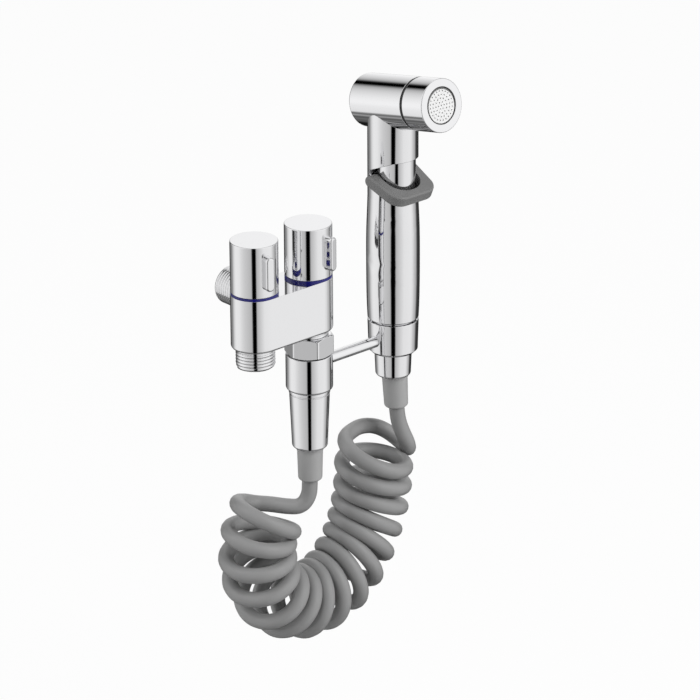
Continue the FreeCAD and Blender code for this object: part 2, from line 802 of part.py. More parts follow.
def cross_pin_travel():
    """Lift of the cross pin over the trigger's swing."""
    arm = pivot_back + plunger_forward
    return arm * (math.tan(slope) - math.tan(slope - math.radians(trigger_swing)))


def handset_body():
    """Handle, neck and head, with the waterway, the valve chamber and the trigger's recess."""
    shell_front = head_front - groove_from_front - groove_width
    head = turned([
        (0, -head_back), (head_r, -head_back, head_edge), (head_r, shell_front), (groove_r, shell_front),
        (groove_r, shell_front + groove_width), (spigot_head_r, shell_front + groove_width),
        (spigot_head_r, shell_front + groove_width + spigot_head), (0, shell_front + groove_width + spigot_head),
    ])
    head = aimed(head, head_centre, head_direction)
    chamber = turned([
        (0, -head_back + head_wall), (head_bore_r, -head_back + head_wall, head_bore_round),
        (head_bore_r, shell_front + groove_width + spigot_head), (0, shell_front + groove_width + spigot_head),
    ])
    chamber = aimed(chamber, head_centre, head_direction)
    stub = thread_stub(Vector(handset_x, barrel_y, handle_foot), Vector(0, 0, -1), stub_length)

    seat_bottom, seat_top, chamber_top, spring_floor = plunger_levels()
    bypass_y = barrel_y + bypass_back
    pin_z = cross_pin_z()
    slot_bottom = pin_z - cross_pin_r - cross_slot_play
    slot_top = pin_z + cross_pin_travel() + cross_pin_r + cross_slot_play
    slot_width = 2 * (cross_pin_r + stem_fit)
    cuts = [
        chamber,
        trigger_recess(),
        upright(holder_bore_r, handle_foot - stub_length, handle_foot, handset_x, barrel_y),
        upright(handle_bore_r, handle_foot, seat_bottom, handset_x, barrel_y),
        upright(seat_r, seat_bottom, seat_top, handset_x, plunger_y),
        upright(chamber_r, seat_top, chamber_top, handset_x, plunger_y),
        upright(stem_r + stem_fit, chamber_top, spring_floor, handset_x, plunger_y),
        upright(spring_bore_r, spring_floor, head_z, handset_x, plunger_y),
        upright(bypass_r, seat_top + bypass_r / 2, head_z, handset_x, bypass_y),
        rod(bypass_r, Vector(handset_x, plunger_y, seat_top + 2 * bypass_r),
            Vector(handset_x, bypass_y, seat_top + 2 * bypass_r)),
        rod(pivot_r, Vector(handset_x - 2 * neck_r, pivot_y, pivot_z),
            Vector(handset_x + 2 * neck_r, pivot_y, pivot_z)),
        Part.makeBox(2 * neck_r, slot_width, slot_top - slot_bottom,
                     Vector(handset_x - neck_r, plunger_y - slot_width / 2, slot_bottom)),
    ]
    print("cross pin travel", round(cross_pin_travel(), 4))
    return handle().fuse([head, stub]).cut(cuts).removeSplitter()


def groove_ring():
    """Dark rubber ring in the groove between the head and its cap."""
    back = head_front - groove_from_front - groove_width + groove_ring_gap
    front = head_front - groove_from_front - groove_ring_gap
    band = turned([
        (groove_r + groove_ring_gap, back), (groove_ring_r, back, groove_ring_round),
        (groove_ring_r, front, groove_ring_round), (groove_r + groove_ring_gap, front),
    ])
    return aimed(band, head_centre, head_direction)


def head_cap():
    """Front cap: skirt over the head's spigot and a flat front face round the spray plate."""
    start = head_front - groove_from_front
    inner_r = spigot_head_r + cap_fit
    shoulder = head_front - cap_front_wall
    cap = turned([
        (inner_r, start), (head_r, start, cap_back_edge), (head_r, head_front, cap_edge),
        (cap_opening_r, head_front, cap_lip_edge), (cap_opening_r, shoulder), (inner_r, shoulder),
    ])
    return aimed(cap, head_centre, head_direction)


def spray_plate():
    """Plate with rings of fine holes, held behind the cap's front wall."""
    rim_front = head_front - cap_front_wall - plate_gap
    rim_back = rim_front - plate_rim
    face = head_front - plate_recess
    plate = turned([
        (0, face - plate_wall), (plate_face_r - plate_wall, face - plate_wall), (plate_face_r - plate_wall, rim_back),
        (plate_rim_r, rim_back), (plate_rim_r, rim_front), (plate_face_r, rim_front), (plate_face_r, face, plate_edge),
        (0, face),
    ])
    holes = []
    for ring_number in range(spray_rings + 1):
        count = max(1, 6 * ring_number)
        for i in range(count):
            angle = 2 * math.pi * i / count
            x = ring_number * spray_ring_step * math.cos(angle)
            y = ring_number * spray_ring_step * math.sin(angle)
            holes.append(upright(spray_hole_r, face - 2 * plate_wall, face + plate_wall, x, y))
    return aimed(plate.cut(holes), head_centre, head_direction)


def head_seal():
    """Rubber ring between the head's spigot and the spray plate."""
    back = head_front - groove_from_front + spigot_head
    front = head_front - cap_front_wall - plate_gap - plate_rim
    seal = turned([
        (spigot_head_r - head_seal_width, back), (spigot_head_r - cap_fit, back), (spigot_head_r - cap_fit, front),
        (spigot_head_r - head_seal_width, front),
    ])
    return aimed(seal, head_centre, head_direction)


def is_outer_edge(edge):
    """Whether an edge runs round the stirrup's outside, on its upper or lower face."""
    first, last = edge.FirstParameter, edge.LastParameter
    middle = edge.valueAt((first + last) / 2)
    up = (middle - Vector(middle.x, pivot_y, pivot_z)).dot(trigger_plane(0, 1) - trigger_plane(0, 0))
    forward = (middle - Vector(middle.x, pivot_y, pivot_z)).dot(trigger_plane(1, 0) - trigger_plane(0, 0))
    outside = abs(middle.x - handset_x) > trigger_inner_half + 1 or forward > trigger_inner_reach + 1
    return abs(abs(up) - trigger_height / 2) < 1e-3 and outside


def trigger():
    """Stirrup round the front of the neck, with blind holes for its pin and slots for the plunger's cross pin."""
    end = -trigger_height / 2
    outline = [
        (trigger_half_back, end), (trigger_half_front, trigger_reach, trigger_corner),
        (-trigger_half_front, trigger_reach, trigger_corner), (-trigger_half_back, end),
        (-trigger_inner_half, end), (-trigger_inner_half, trigger_inner_reach, trigger_inner_corner),
        (trigger_inner_half, trigger_inner_reach, trigger_inner_corner), (trigger_inner_half, end),
    ]
    middle = Vector(handset_x, 0, 0)
    slab = prism(outline, trigger_height, lambda u, v: middle + Vector(u, 0, 0) + trigger_plane(v, 0),
                 trigger_plane(0, 1) - trigger_plane(0, 0))
    half = trigger_height / 2
    beyond = trigger_reach + 1
    side = [
        (end, -half, limb_end_round), (beyond, -half), (beyond, half), (end, half, limb_end_round),
    ]
    side_view = prism(side, 4 * trigger_half_back, lambda v, up: middle + trigger_plane(v, up), Vector(1, 0, 0))
    body = slab.common(side_view)
    outer_edges = [edge for edge in body.Edges if is_outer_edge(edge)]
    body = body.makeFillet(trigger_edge, outer_edges)

    along = (pivot_back + plunger_forward) / math.cos(slope)
    nearest = pivot_back + plunger_forward
    slot_half = cross_pin_r + cross_slot_play
    slot_depth = trigger_inner_half + cross_pin_into_limb + cross_slot_play
    slot = [
        (nearest - slot_half, -slot_half, slot_end_round), (along + slot_half, -slot_half, slot_end_round),
        (along + slot_half, slot_half, slot_end_round), (nearest - slot_half, slot_half, slot_end_round),
    ]
    cross_slot = prism(slot, 2 * slot_depth, lambda v, up: middle + trigger_plane(v, up), Vector(1, 0, 0))
    hole_half = trigger_inner_half + pivot_into_limb + pivot_fit
    pivot_hole = rod(pivot_r + pivot_fit, Vector(handset_x - hole_half, pivot_y, pivot_z),
                     Vector(handset_x + hole_half, pivot_y, pivot_z))
    return body.cut([cross_slot, pivot_hole])


def trigger_pin():
    """Steel pin through the core, with its ends in the trigger's limbs."""
    half = trigger_inner_half + pivot_into_limb - pivot_fit
    return rod(pivot_r, Vector(handset_x - half, pivot_y, pivot_z), Vector(handset_x + half, pivot_y, pivot_z))


def plunger_seat():
    """Brass seat with a raised lip, pressed in above the handle's waterway."""
    seat_bottom, seat_top, _, _ = plunger_levels()
    return ring(seat_r, seat_hole_r, seat_bottom, seat_top, handset_x, plunger_y)


def plunger_seal():
    """Rubber disc under the plunger's stem."""
    _, seat_top, _, _ = plunger_levels()
    return upright(plunger_seal_r, seat_top + joint_gap, seat_top + plunger_seal_height, handset_x, plunger_y)


def plunger_stem():
    """Stem from the seal to the spring, drilled for the cross pin."""
    _, seat_top, _, spring_floor = plunger_levels()
    foot = seat_top + plunger_seal_height
    head_bottom = spring_floor + joint_gap
    collar_outer_r = plunger_seal_r - stem_collar_inset
    stem = turned([
        (0, foot), (collar_outer_r, foot), (collar_outer_r, foot + stem_collar), (stem_r, foot + stem_collar),
        (stem_r, head_bottom), (spring_bore_r - 2 * stem_fit, head_bottom),
        (spring_bore_r - 2 * stem_fit, head_bottom + stem_collar), (0, head_bottom + stem_collar),
    ], handset_x, plunger_y)
    pin_z = cross_pin_z()
    return stem.cut(rod(cross_pin_r, Vector(handset_x - neck_r, plunger_y, pin_z),
                        Vector(handset_x + neck_r, plunger_y, pin_z)))


def cross_pin():
    """Pin through the stem, which the trigger's limbs lift."""
    half = trigger_inner_half + cross_pin_into_limb
    pin_z = cross_pin_z()
    return rod(cross_pin_r, Vector(handset_x - half, plunger_y, pin_z), Vector(handset_x + half, plunger_y, pin_z))


def return_spring():
    """Compression spring above the stem."""
    _, _, _, spring_floor = plunger_levels()
    foot = spring_floor + joint_gap + stem_collar + spring_wire_r + joint_gap
    pitch = (spring_length - 2 * spring_wire_r) / spring_turns
    helix = Part.makeHelix(pitch, pitch * spring_turns, spring_coil_r)
    section = Part.Wire([Part.makeCircle(spring_wire_r, Vector(spring_coil_r, 0, 0), Vector(0, 1, 0))])
    spring = Part.Wire(helix.Edges).makePipeShell([section], True, True)
    spring.translate(Vector(handset_x, plunger_y, foot))
    return spring


def spring_plug():
    """Plug that closes the spring's bore."""
    _, _, _, spring_floor = plunger_levels()
    bottom = spring_floor + joint_gap + stem_collar + spring_length + 2 * joint_gap
    return upright(spring_bore_r, bottom, bottom + plug_height, handset_x, plunger_y)


def build():
    """Make every piece and write it out."""
    os.makedirs("parts", exist_ok=True)
    save("valve_body", valve_body())
    foot, _, moving_bottom, _ = cartridge_levels()
    for side, x, turn in (("left", left_x, -lever_turn), ("right", right_x, lever_turn)):
        save(side + "_port_seal", port_seal(x))
        save(side + "_fixed_disc", ceramic_disc(foot, x))
        save(side + "_moving_disc", ceramic_disc(moving_bottom, x))
        save(side + "_headwork", headwork(x))
        save(side + "_spindle", spindle(x))
        save(side + "_indicator_ring", indicator_ring(x))
        save(side + "_knob", knob(x, turn))
        save(side + "_grub_screw", grub_screw(x, turn))
    save("union_nut", union_nut())
    save("union_washer", union_washer())
    save("holder_body", holder_body())
    save("holder_arm", holder_arm())
    save("holder_cup", holder_cup())
    for side, top, x, lean in (("valve", valve_cone_top, right_x, 0),
                               ("handset", handset_cone_top, handset_x, handset_lean)):
        save(side + "_hose_nut", hose_nut(top, x))
        save(side + "_hose_washer", hose_washer_ring(top, x))
        save(side + "_hose_tail", hose_tail(top, x))
        save(side + "_strain_relief", strain_relief(top, x, lean))
    save("valve_hose_lead", tube(valve_lead, hose_r))
    save("hose_coil", tube(coil_axis, coil_r))
    save("handset_hose_lead", tube(handset_lead, hose_r))
    save("handset_body", handset_body())
    save("groove_ring", groove_ring())
    save("head_cap", head_cap())
    save("spray_plate", spray_plate())
    save("head_seal", head_seal())
    save("trigger", trigger())
    save("trigger_pin", trigger_pin())
    save("plunger_seat", plunger_seat())
    save("plunger_seal", plunger_seal())
    save("plunger_stem", plunger_stem())
    save("cross_pin", cross_pin())
    save("return_spring", return_spring())
    save("spring_plug", spring_plug())


build()
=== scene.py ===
"""Looks of the handheld bidet shower: camera, curly hose, threads, materials and studio light."""
import bpy
import json
import math
from mathutils import Matrix, Vector

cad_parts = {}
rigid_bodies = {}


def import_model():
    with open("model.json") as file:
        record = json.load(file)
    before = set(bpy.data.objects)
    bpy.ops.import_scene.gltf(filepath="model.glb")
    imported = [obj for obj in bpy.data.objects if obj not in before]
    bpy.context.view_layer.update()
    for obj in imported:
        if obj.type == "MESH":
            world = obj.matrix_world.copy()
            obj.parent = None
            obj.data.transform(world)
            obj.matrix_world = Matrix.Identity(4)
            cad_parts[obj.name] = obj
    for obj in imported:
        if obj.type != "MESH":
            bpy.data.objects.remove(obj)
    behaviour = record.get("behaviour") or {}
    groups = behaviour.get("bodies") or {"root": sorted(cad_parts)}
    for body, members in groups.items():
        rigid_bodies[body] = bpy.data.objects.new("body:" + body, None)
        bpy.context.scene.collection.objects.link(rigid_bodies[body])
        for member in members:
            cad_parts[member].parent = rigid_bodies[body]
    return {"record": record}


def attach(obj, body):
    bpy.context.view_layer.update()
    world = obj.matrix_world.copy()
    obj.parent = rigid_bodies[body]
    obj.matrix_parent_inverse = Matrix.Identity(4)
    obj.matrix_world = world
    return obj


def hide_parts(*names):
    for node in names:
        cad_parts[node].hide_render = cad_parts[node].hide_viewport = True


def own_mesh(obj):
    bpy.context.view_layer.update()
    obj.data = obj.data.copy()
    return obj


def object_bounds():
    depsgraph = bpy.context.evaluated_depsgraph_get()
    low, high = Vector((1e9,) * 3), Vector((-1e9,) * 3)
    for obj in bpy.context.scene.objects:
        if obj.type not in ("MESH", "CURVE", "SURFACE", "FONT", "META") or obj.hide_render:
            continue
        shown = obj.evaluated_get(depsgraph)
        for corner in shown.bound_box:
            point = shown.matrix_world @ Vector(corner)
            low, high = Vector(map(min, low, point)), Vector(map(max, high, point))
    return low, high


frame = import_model()
cad_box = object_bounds()

# Camera: angles in degrees, lens and sensor in millimetres, the rest in metres
camera_turn = 41.77          # to the left of straight ahead
camera_rise = 22.62          # looking down
camera_roll = -0.3
camera_distance = 2.31275
camera_lens = 216.0
sensor_width = 36.0
far_clip = 50.0
camera_target = Vector((0.04075, -0.0304, -0.0474))
target_right = -0.00624      # where the target stands in the picture
target_up = -0.00926

# Floor and lamps
floor_drop = 0.12            # floor below the object
floor_half = 12.0
floor_grey = 0.6
floor_roughness = 0.9
floor_glow = 0.95            # part of the floor that is plain white to the camera
soft_light = 0.48            # world's light on dull surfaces
lamp_distance = 2.0
lamp_size = 1.2
lamps = [                    # name, bearing from the camera and rise in degrees, watts
    ("key", 60.0, 35.0, 38.0),
    ("fill", -80.0, 25.0, 20.0),
]

# Barrels, as in the part's source, in metres
barrel_y = -0.0304
left_x = -0.01925
right_x = 0.01925

# Threads, in metres: ridges on the plain cylinders of the solids
thread_r = 0.0104775
thread_pitch = 0.001814
thread_height = 0.0003       # above the plain cylinder
thread_sunk = 0.00005        # foot below its surface
thread_foot = thread_pitch   # width at the foot
thread_crest = 0.0002        # width at the crest
thread_steps = 40            # for each turn
thread_fade = 0.25           # turns over which a ridge rises from nothing
thread_edge = 25.0           # edges that turn by more stay sharp, in degrees
inlet_thread_start = -0.0032
inlet_thread_length = 0.0162
tank_thread_top = -0.0190
tank_thread_length = 0.0094
spray_thread_top = -0.0188
spray_thread_length = 0.0022

# Spray plate and finishes
spray_face_r = 0.0092        # light part of the spray plate
spray_gap_shade_grey = 0.12        # painted shade: the dark band round it, for the shadow in the gap between the plate and its cap
edge_round = 0.0004          # shown round of sharp chromed edges
edge_samples = 6
grain_detail = 3.0

# Hose
hose_diameter = 0.0088
spline_order = 3
spline_steps = 6             # along a tube, for each control point
route_steps = 32             # along the coil's axis, for each control point
round_steps = 6              # fineness of a tube's round section
least_step = hose_diameter / 20      # points of the line that stand closer are left out

# The hose's route, near the one in the part's source and moved to follow the photograph
valve_lead = [
    (0.01925, -0.0304, -0.0980), (0.0190, -0.0304, -0.1095), (0.0184, -0.0304, -0.1185),
    (0.0140, -0.0285, -0.1245), (0.0070, -0.0240, -0.1236), (-0.0005, -0.0190, -0.1215),
]
coil_axis = [
    (-0.0065, -0.0304, -0.1110), (-0.0190, -0.0304, -0.1275), (-0.0205, -0.0304, -0.1480),
    (-0.0130, -0.0304, -0.1680), (0.0050, -0.0304, -0.1800), (0.0170, -0.0304, -0.1810),
    (0.0320, -0.0304, -0.1800), (0.0520, -0.0304, -0.1645), (0.0630, -0.0304, -0.1400),
    (0.0667, -0.0304, -0.1200), (0.0668, -0.0304, -0.1010),
]
handset_lead = [
    (0.08298, -0.0304, -0.0710), (0.08397, -0.0304, -0.0872), (0.0856, -0.0316, -0.0965),
    (0.0880, -0.0355, -0.1060), (0.0930, -0.0305, -0.1130), (0.0965, -0.0205, -0.1125),
    (0.0915, -0.0138, -0.1060), (0.0825, -0.0126, -0.1005), (0.0720, -0.0124, -0.0980),
]

# The helix: at a whole turn it is at the bend's outer side, and a quarter turn on it is in front
first_turn = 0.7
last_turn = 15.7
turn_steps = 16              # points of the spline for each turn
tables_start = 0.25          # turn that the first entry of each table is for, with one entry a turn
turn_places = [              # distance along the axis, in metres
    0.0030, 0.0150, 0.0270, 0.0385, 0.0510, 0.0670, 0.0800, 0.0925,
    0.1060, 0.1195, 0.1325, 0.1445, 0.1560, 0.1675, 0.1795, 0.1915, 0.2085,
]
turn_radii = [               # mean radius, in metres
    0.0177, 0.0177, 0.0177, 0.0180, 0.0180, 0.0177, 0.0177, 0.0177,
    0.0177, 0.0179, 0.0179, 0.0177, 0.0178, 0.0181, 0.0184, 0.0188, 0.0135,
]
turn_leans = [               # lean of the outer side ahead along the axis, in degrees
    1, 5, 9, 8, 8, 0, -6, -11, -12, -13, -13, -12, -6, -3, -6, -9, -13,
]
turn_tips = [                # how far the front tips back along the axis, in degrees
    0, 2, 2, 1, -1, -2, 0, 2, 2, 2, 2, 2, 2, 3, 6, 11, 3,
]

# Each material slot's colour, share of metal and roughness
finishes = {
    "chrome": ((0.87, 0.87, 0.88), 1.0, 0.05),
    "brass": ((0.62, 0.44, 0.18), 1.0, 0.3),
    "ceramic": ((0.85, 0.83, 0.8), 0.0, 0.15),
    "rubber": ((0.02, 0.02, 0.02), 0.0, 0.6),
    "steel": ((0.6, 0.6, 0.61), 1.0, 0.25),
    "blue_ring": ((0.006, 0.006, 0.13), 0.0, 0.2),
    "grey_plastic": ((0.15, 0.15, 0.15), 0.0, 0.4),
    "grey_rubber": ((0.3, 0.3, 0.3), 0.0, 0.45),
    "hose": ((0.225, 0.225, 0.225), 0.0, 0.36),
    "spray_face": ((0.62, 0.62, 0.62), 0.0, 0.4),
}
grains = {                   # scale of the grain, and how far the roughness goes up and down
    "chrome": (120.0, 0.02),
    "hose": (300.0, 0.08),
    "grey_rubber": (300.0, 0.08),
    "grey_plastic": (300.0, 0.06),
}

# What polished metal sees round it: (degrees, grey) stops by bearing to the right of the camera
low_greys = [                # below low_rise
    (-180, 0.03), (-151, 0.04), (-145, 0.13), (-141, 0.26), (-128, 0.25), (-121, 0.45),
    (-113, 0.66), (-104, 0.84), (-95, 0.91), (-75, 0.88), (-60, 0.76), (-45, 0.66),
    (-20, 0.55), (-13, 0.5), (-8, 0.0), (8, 0.0), (12.5, 0.5), (18, 0.57),
    (34, 0.73), (48, 0.86), (84, 0.9), (94, 0.8), (102, 0.62), (112, 0.5),
    (117, 0.4), (123, 0.12), (130, 0.04), (180, 0.03),
]
high_greys = [               # above high_rise
    (-180, 1.0), (-172, 0.85), (-162, 0.67), (-154, 0.45), (-146, 0.05), (-143, 0.0),
    (-134, 0.0), (-129, 0.25), (-124, 0.48), (-115, 0.68), (-105, 0.85), (-97, 1.0),
    (-75, 0.95), (-45, 0.7), (-20, 0.58), (-13, 0.5), (-8, 0.0), (8, 0.0),
    (12.5, 0.5), (18, 0.6), (45, 0.9), (85, 1.0), (105, 0.8), (125, 0.5), (131, 0.1),
    (135, 0.0), (143, 0.0), (150, 0.3), (160, 0.65), (172, 0.85), (180, 1.0),
]
low_rise = -19.0
high_rise = -8.0
rise_shares = [              # share of those greys by the height angle above level
    (-90, 0.25), (-54, 0.3), (-51, 0.5), (-49, 0.2), (-46.5, 0.18), (-43.5, 0.5),
    (-40, 0.2), (-37.5, 0.2), (-34, 0.95), (-22, 1.0), (-8, 1.0), (90, 1.0),
]

# Colour sockets of a mix node
mix_first = 6
mix_second = 7
mix_result = 2


def link(obj):
    """Put an object in the scene."""
    bpy.context.scene.collection.objects.link(obj)
    return obj


def look_from(turn, rise, roll):
    """View direction and the picture's right and up, in the part's frame."""
    turn, rise, roll = (math.radians(angle) for angle in (turn, rise, roll))
    ahead = Vector((math.sin(turn) * math.cos(rise), math.cos(turn) * math.cos(rise), -math.sin(rise)))
    right = Vector((math.cos(turn), -math.sin(turn), 0.0))
    up = right.cross(ahead)
    rolled_right = right * math.cos(roll) + up * math.sin(roll)
    rolled_up = up * math.cos(roll) - right * math.sin(roll)
    return ahead, rolled_right, rolled_up


def add_camera():
    """Camera at the photograph's viewpoint."""
    ahead, right, up = look_from(camera_turn, camera_rise, camera_roll)
    data = bpy.data.cameras.new("camera")
    data.lens = camera_lens
    data.sensor_width = sensor_width
    data.clip_end = far_clip
    camera = link(bpy.data.objects.new("camera", data))
    camera.rotation_euler = Matrix((right, up, -ahead)).transposed().to_euler()
    camera.location = camera_target - right * target_right - up * target_up - ahead * camera_distance
    bpy.context.scene.camera = camera


def spline_curve(name, points, bevel):
    """Curve object with one smooth open spline through the run of its control points."""
    data = bpy.data.curves.new(name, "CURVE")
    data.dimensions = "3D"
    data.resolution_u = spline_steps
    spline = data.splines.new("NURBS")
    spline.points.add(len(points) - 1)
    for place, point in zip(spline.points, points):
        place.co = (point[0], point[1], point[2], 1.0)
    spline.order_u = spline_order
    spline.use_endpoint_u = True
    data.bevel_depth = bevel
    data.bevel_resolution = round_steps
    return link(bpy.data.objects.new(name, data))


def spline_points(points):
    """Points read along the smooth spline of a route."""
    route = spline_curve("route", points, 0.0)
    route.data.resolution_u = route_steps
    mesh = bpy.data.meshes.new_from_object(route)
    line = [vertex.co.copy() for vertex in mesh.vertices]
    bpy.data.objects.remove(route)
    bpy.data.meshes.remove(mesh)
    return line


def along(line, distance):
    """Point and direction at a distance along a line, which runs straight on beyond its ends."""
    walked = 0.0
    for start, end in zip(line, line[1:]):
        step = (end - start).length
        if walked + step >= distance or end is line[-1]:
            direction = (end - start).normalized()
            return start + direction * (distance - walked), direction
        walked += step


def at_turn(table, turn):
    """Value of a table of turns at any turn, on straight lines between its entries."""
    position = turn - tables_start
    low = max(0, min(len(table) - 2, int(math.floor(position))))
    return table[low] + (table[low + 1] - table[low]) * (position - low)


def helix_points():
    """Control points of the coil's turns, round the smooth line of its axis."""
    axis = spline_points(coil_axis)
    points = []
    count = round((last_turn - first_turn) * turn_steps)
    for i in range(count + 1):
        turn = first_turn + (last_turn - first_turn) * i / count
        centre, direction = along(axis, at_turn(turn_places, turn))
        lean = Matrix.Rotation(-math.radians(at_turn(turn_leans, turn)), 3, "Y")
        outer = lean @ Vector((direction.z, 0.0, -direction.x))
        tip = math.radians(at_turn(turn_tips, turn))
        rear = Vector((-outer.z * math.sin(tip), math.cos(tip), outer.x * math.sin(tip)))
        angle = 2 * math.pi * turn
        points.append(centre + (outer * math.cos(angle) - rear * math.sin(angle)) * at_turn(turn_radii, turn))
    return points


def tube_mesh(name, points, diameter):
    """Mesh tube along the smooth spline of a run of points, and the line that it follows."""
    curve = spline_curve(name + "_curve", points, diameter / 2)
    curve.data.use_fill_caps = True
    mesh = bpy.data.meshes.new_from_object(curve)
    curve.data.bevel_depth = 0.0
    line_mesh = bpy.data.meshes.new_from_object(curve)
    line = [line_mesh.vertices[0].co.copy()]
    for vertex in line_mesh.vertices:
        if (vertex.co - line[-1]).length > least_step:
            line.append(vertex.co.copy())
    bpy.data.meshes.remove(line_mesh)
    bpy.data.objects.remove(curve)
    mesh.shade_smooth()
    return link(bpy.data.objects.new(name, mesh)), line


def make_hose():
    """The whole curly hose as one mesh tube, in place of the CAD hose parts."""
    points = [Vector(point) for point in valve_lead] + helix_points()
    points += [Vector(point) for point in reversed(handset_lead)]
    hose, line = tube_mesh("hose", points, hose_diameter)
    dress(hose, "hose")
    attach(hose, "root")
    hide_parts("valve_hose_lead", "hose_coil", "handset_hose_lead")


def thread(name, start, direction, length):
    """Raised helical ridge round a threaded end, from start along direction, fading in and out."""
    turns = length / thread_pitch
    steps = int(turns * thread_steps)
    side = direction.orthogonal().normalized()
    across = direction.cross(side)
    points = []
    for i in range(steps + 1):
        turn = turns * i / steps
        angle = 2 * math.pi * turn
        out = side * math.cos(angle) + across * math.sin(angle)
        centre = start + direction * (thread_pitch * turn)
        height = thread_height * min(1.0, turn / thread_fade, (turns - turn) / thread_fade)
        section = [(-thread_foot / 2, -thread_sunk), (-thread_crest / 2, height),
                   (thread_crest / 2, height), (thread_foot / 2, -thread_sunk)]
        points += [centre + direction * shift + out * (thread_r + lift) for shift, lift in section]
    corners = len(section)
    last = corners * steps
    faces = []
    for first in range(0, last, corners):
        for j in range(corners):
            following = (j + 1) % corners
            faces.append((first + j, first + following, first + corners + following, first + corners + j))
    faces.append(tuple(reversed(range(corners))))
    faces.append(tuple(range(last, last + corners)))
    mesh = bpy.data.meshes.new(name)
    mesh.from_pydata(points, [], faces)
    mesh.shade_smooth()
    mesh.set_sharp_from_angle(angle=math.radians(thread_edge))
    ridge = link(bpy.data.objects.new(name, mesh))
    dress(ridge, "chrome")
    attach(ridge, "root")


def make_threads():
    """Threads of the wall inlet, the tank outlet and the stretch of spray outlet that shows above its nut."""
    down = Vector((0, 0, -1))
    thread("inlet_thread", Vector((0, inlet_thread_start, 0)), Vector((0, 1, 0)), inlet_thread_length)
    thread("tank_thread", Vector((left_x, barrel_y, tank_thread_top)), down, tank_thread_length)
    thread("spray_thread", Vector((right_x, barrel_y, spray_thread_top)), down, spray_thread_length)


def shorten_spring():
    """Give the return spring a mesh of its own."""
    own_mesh(bpy.data.objects["return_spring"])


def material(name, color, metallic, roughness):
    """Principled material with plain values."""
    made = bpy.data.materials.new(name)
    made.use_nodes = True
    shader = made.node_tree.nodes["Principled BSDF"]
    shader.inputs["Base Color"].default_value = (*color, 1.0)
    shader.inputs["Metallic"].default_value = metallic
    shader.inputs["Roughness"].default_value = roughness
    return made


def grey_color(grey):
    """Opaque colour of a grey."""
    return grey, grey, grey, 1.0


def feed(tree, socket, value):
    """Give a socket a link from another socket, or a plain value."""
    if isinstance(value, bpy.types.NodeSocket):
        tree.links.new(value, socket)
    else:
        socket.default_value = value


def maths(tree, operation, first, second=None):
    """Math node's output for sockets or plain numbers."""
    node = tree.nodes.new("ShaderNodeMath")
    node.operation = operation
    feed(tree, node.inputs[0], first)
    if second is not None:
        feed(tree, node.inputs[1], second)
    return node.outputs["Value"]


def mixed(tree, share, first, second):
    """Colour that goes from the first to the second with a share."""
    node = tree.nodes.new("ShaderNodeMix")
    node.data_type = "RGBA"
    feed(tree, node.inputs["Factor"], share)
    feed(tree, node.inputs[mix_first], first)
    feed(tree, node.inputs[mix_second], second)
    return node.outputs[mix_result]


def ramp(tree, value, stops):
    """Grey ramp from 0 to 1 with the given (position, grey) stops."""
    node = tree.nodes.new("ShaderNodeValToRGB")
    elements = node.color_ramp.elements
    while len(elements) > 1:
        elements.remove(elements[-1])
    elements[0].position = stops[0][0]
    elements[0].color = grey_color(stops[0][1])
    for position, grey in stops[1:]:
        elements.new(position).color = grey_color(grey)
    tree.links.new(value, node.inputs["Fac"])
    return node.outputs["Color"]


def grain(slot, scale, spread):
    """Vary a material's roughness a little from place to place."""
    tree = materials[slot].node_tree
    socket = tree.nodes["Principled BSDF"].inputs["Roughness"]
    roughness = socket.default_value
    place = tree.nodes.new("ShaderNodeTexCoord")
    noise = tree.nodes.new("ShaderNodeTexNoise")
    noise.inputs["Scale"].default_value = scale
    noise.inputs["Detail"].default_value = grain_detail
    tree.links.new(place.outputs["Object"], noise.inputs["Vector"])
    levels = tree.nodes.new("ShaderNodeMapRange")
    levels.inputs["To Min"].default_value = roughness - spread
    levels.inputs["To Max"].default_value = roughness + spread
    tree.links.new(noise.outputs["Fac"], levels.inputs["Value"])
    tree.links.new(levels.outputs["Result"], socket)


def round_edges(slot, radius):
    """Shade a material's sharp edges as if they were rounded a little."""
    tree = materials[slot].node_tree
    bevel = tree.nodes.new("ShaderNodeBevel")
    bevel.samples = edge_samples
    bevel.inputs["Radius"].default_value = radius
    tree.links.new(bevel.outputs["Normal"], tree.nodes["Principled BSDF"].inputs["Normal"])


def gap_shade_band(slot, node, radius, grey):
    """Painted shade: a dark band on a round front face of a node, beyond a radius from its middle, for the
    shadow in the gap round that face.
    """
    corners = [Vector(corner) for corner in bpy.data.objects[node].bound_box]
    middle = sum(corners, Vector()) / len(corners)
    tree = materials[slot].node_tree
    socket = tree.nodes["Principled BSDF"].inputs["Base Color"]
    inner = socket.default_value[:]
    place = tree.nodes.new("ShaderNodeTexCoord")
    split = tree.nodes.new("ShaderNodeSeparateXYZ")
    tree.links.new(place.outputs["Object"], split.inputs["Vector"])
    right = maths(tree, "SUBTRACT", split.outputs["X"], middle.x)
    up = maths(tree, "SUBTRACT", split.outputs["Z"], middle.z)
    squares = [maths(tree, "MULTIPLY", side, side) for side in (right, up)]
    away = maths(tree, "SQRT", maths(tree, "ADD", *squares))
    beyond = maths(tree, "GREATER_THAN", away, radius)
    tree.links.new(mixed(tree, beyond, inner, grey_color(grey)), socket)


def dress(obj, slot):
    """Give an object the look of a material slot."""
    obj.data.materials.clear()
    obj.data.materials.append(materials[slot])


def dress_nodes():
    """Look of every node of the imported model."""
    for part in frame["record"]["subparts"]:
        dress(bpy.data.objects[part["node"]], part["material_slot"])


def by_angle(tree, angle, stops):
    """Grey by an angle in degrees, on straight lines between (degrees, grey) stops."""
    low = stops[0][0]
    high = stops[-1][0]
    share = maths(tree, "DIVIDE", maths(tree, "SUBTRACT", angle, low), high - low)
    return ramp(tree, share, [((degrees - low) / (high - low), grey) for degrees, grey in stops])


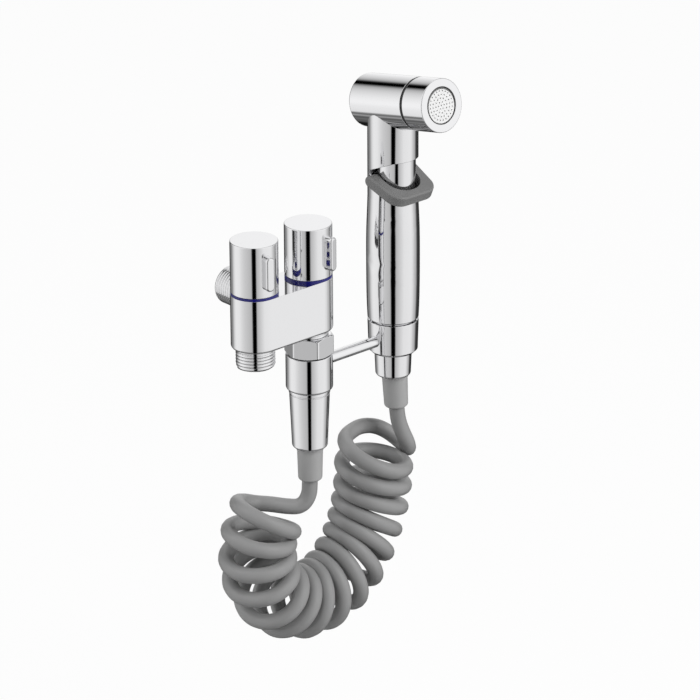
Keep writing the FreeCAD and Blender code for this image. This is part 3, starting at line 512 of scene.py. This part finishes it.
def background(tree, strength):
    """Background shader of plain white at a strength."""
    shader = tree.nodes.new("ShaderNodeBackground")
    shader.inputs["Color"].default_value = grey_color(1.0)
    feed(tree, shader.inputs["Strength"], strength)
    return shader


def choose(tree, share, first, second):
    """Shader that goes from the first to the second with a share."""
    mix = tree.nodes.new("ShaderNodeMixShader")
    tree.links.new(share, mix.inputs[0])
    tree.links.new(first.outputs[0], mix.inputs[1])
    tree.links.new(second.outputs[0], mix.inputs[2])
    return mix


def add_world():
    """White for the camera, soft light for dull surfaces and a studio with dark flags for glossy ones."""
    world = bpy.data.worlds.new("studio")
    bpy.context.scene.world = world
    world.use_nodes = True
    tree = world.node_tree
    tree.nodes.clear()
    place = tree.nodes.new("ShaderNodeTexCoord")
    turned = tree.nodes.new("ShaderNodeVectorRotate")
    turned.rotation_type = "Z_AXIS"
    turned.inputs["Angle"].default_value = math.radians(camera_turn)
    tree.links.new(place.outputs["Generated"], turned.inputs["Vector"])
    split = tree.nodes.new("ShaderNodeSeparateXYZ")
    tree.links.new(turned.outputs["Vector"], split.inputs["Vector"])
    x, y, z = split.outputs
    bearing = maths(tree, "DEGREES", maths(tree, "ARCTAN2", x, maths(tree, "MULTIPLY", y, -1.0)))
    rise = maths(tree, "DEGREES", maths(tree, "ARCSINE", z))
    height = maths(tree, "DIVIDE", maths(tree, "SUBTRACT", rise, low_rise), high_rise - low_rise)
    wall = mixed(tree, height, by_angle(tree, bearing, low_greys), by_angle(tree, bearing, high_greys))
    studio = background(tree, maths(tree, "MULTIPLY", wall, by_angle(tree, rise, rise_shares)))
    rays = tree.nodes.new("ShaderNodeLightPath")
    shader = choose(tree, rays.outputs["Is Glossy Ray"], background(tree, soft_light), studio)
    shader = choose(tree, rays.outputs["Is Camera Ray"], shader, background(tree, 1.0))
    out = tree.nodes.new("ShaderNodeOutputWorld")
    tree.links.new(shader.outputs[0], out.inputs["Surface"])


def add_floor():
    """Plain pale floor below the object, white to the camera apart from the object's shadow."""
    mesh = bpy.data.meshes.new("floor")
    level = cad_box[0][2] - floor_drop
    corners = [(-1, -1), (1, -1), (1, 1), (-1, 1)]
    mesh.from_pydata([(x * floor_half, y * floor_half, level) for x, y in corners], [], [(0, 1, 2, 3)])
    floor = link(bpy.data.objects.new("floor", mesh))
    floor.visible_glossy = False
    pale = material("floor", (floor_grey,) * 3, 0.0, floor_roughness)
    tree = pale.node_tree
    rays = tree.nodes.new("ShaderNodeLightPath")
    white = tree.nodes.new("ShaderNodeEmission")
    share = maths(tree, "MULTIPLY", rays.outputs["Is Camera Ray"], floor_glow)
    shown = choose(tree, share, tree.nodes["Principled BSDF"], white)
    tree.links.new(shown.outputs[0], tree.nodes["Material Output"].inputs["Surface"])
    mesh.materials.append(pale)


def add_lamp(name, bearing, rise, power):
    """Area lamp aimed at the object, at a bearing from the camera and a height angle."""
    data = bpy.data.lights.new(name, "AREA")
    data.size = lamp_size
    data.energy = power
    lamp = link(bpy.data.objects.new(name, data))
    turn = math.radians(camera_turn - bearing)
    rise = math.radians(rise)
    away = Vector((-math.sin(turn) * math.cos(rise), -math.cos(turn) * math.cos(rise), math.sin(rise)))
    lamp.location = camera_target + away * lamp_distance
    lamp.rotation_euler = away.to_track_quat("Z", "Y").to_euler()
    lamp.visible_glossy = False


def write_size():
    """Update the view layer."""
    bpy.context.view_layer.update()


materials = {slot: material(slot, *finish) for slot, finish in finishes.items()}
for slot, (scale, spread) in grains.items():
    grain(slot, scale, spread)
# painted shade of the gap round the spray plate, as a dark band on the plate's rim
gap_shade_band("spray_face", "spray_plate", spray_face_r, spray_gap_shade_grey)
round_edges("chrome", edge_round)
add_camera()
make_hose()
dress_nodes()
shorten_spring()
make_threads()
add_world()
add_floor()
for name, bearing, rise, power in lamps:
    add_lamp(name, bearing, rise, power)
bpy.context.scene.view_settings.view_transform = "Standard"
write_size()
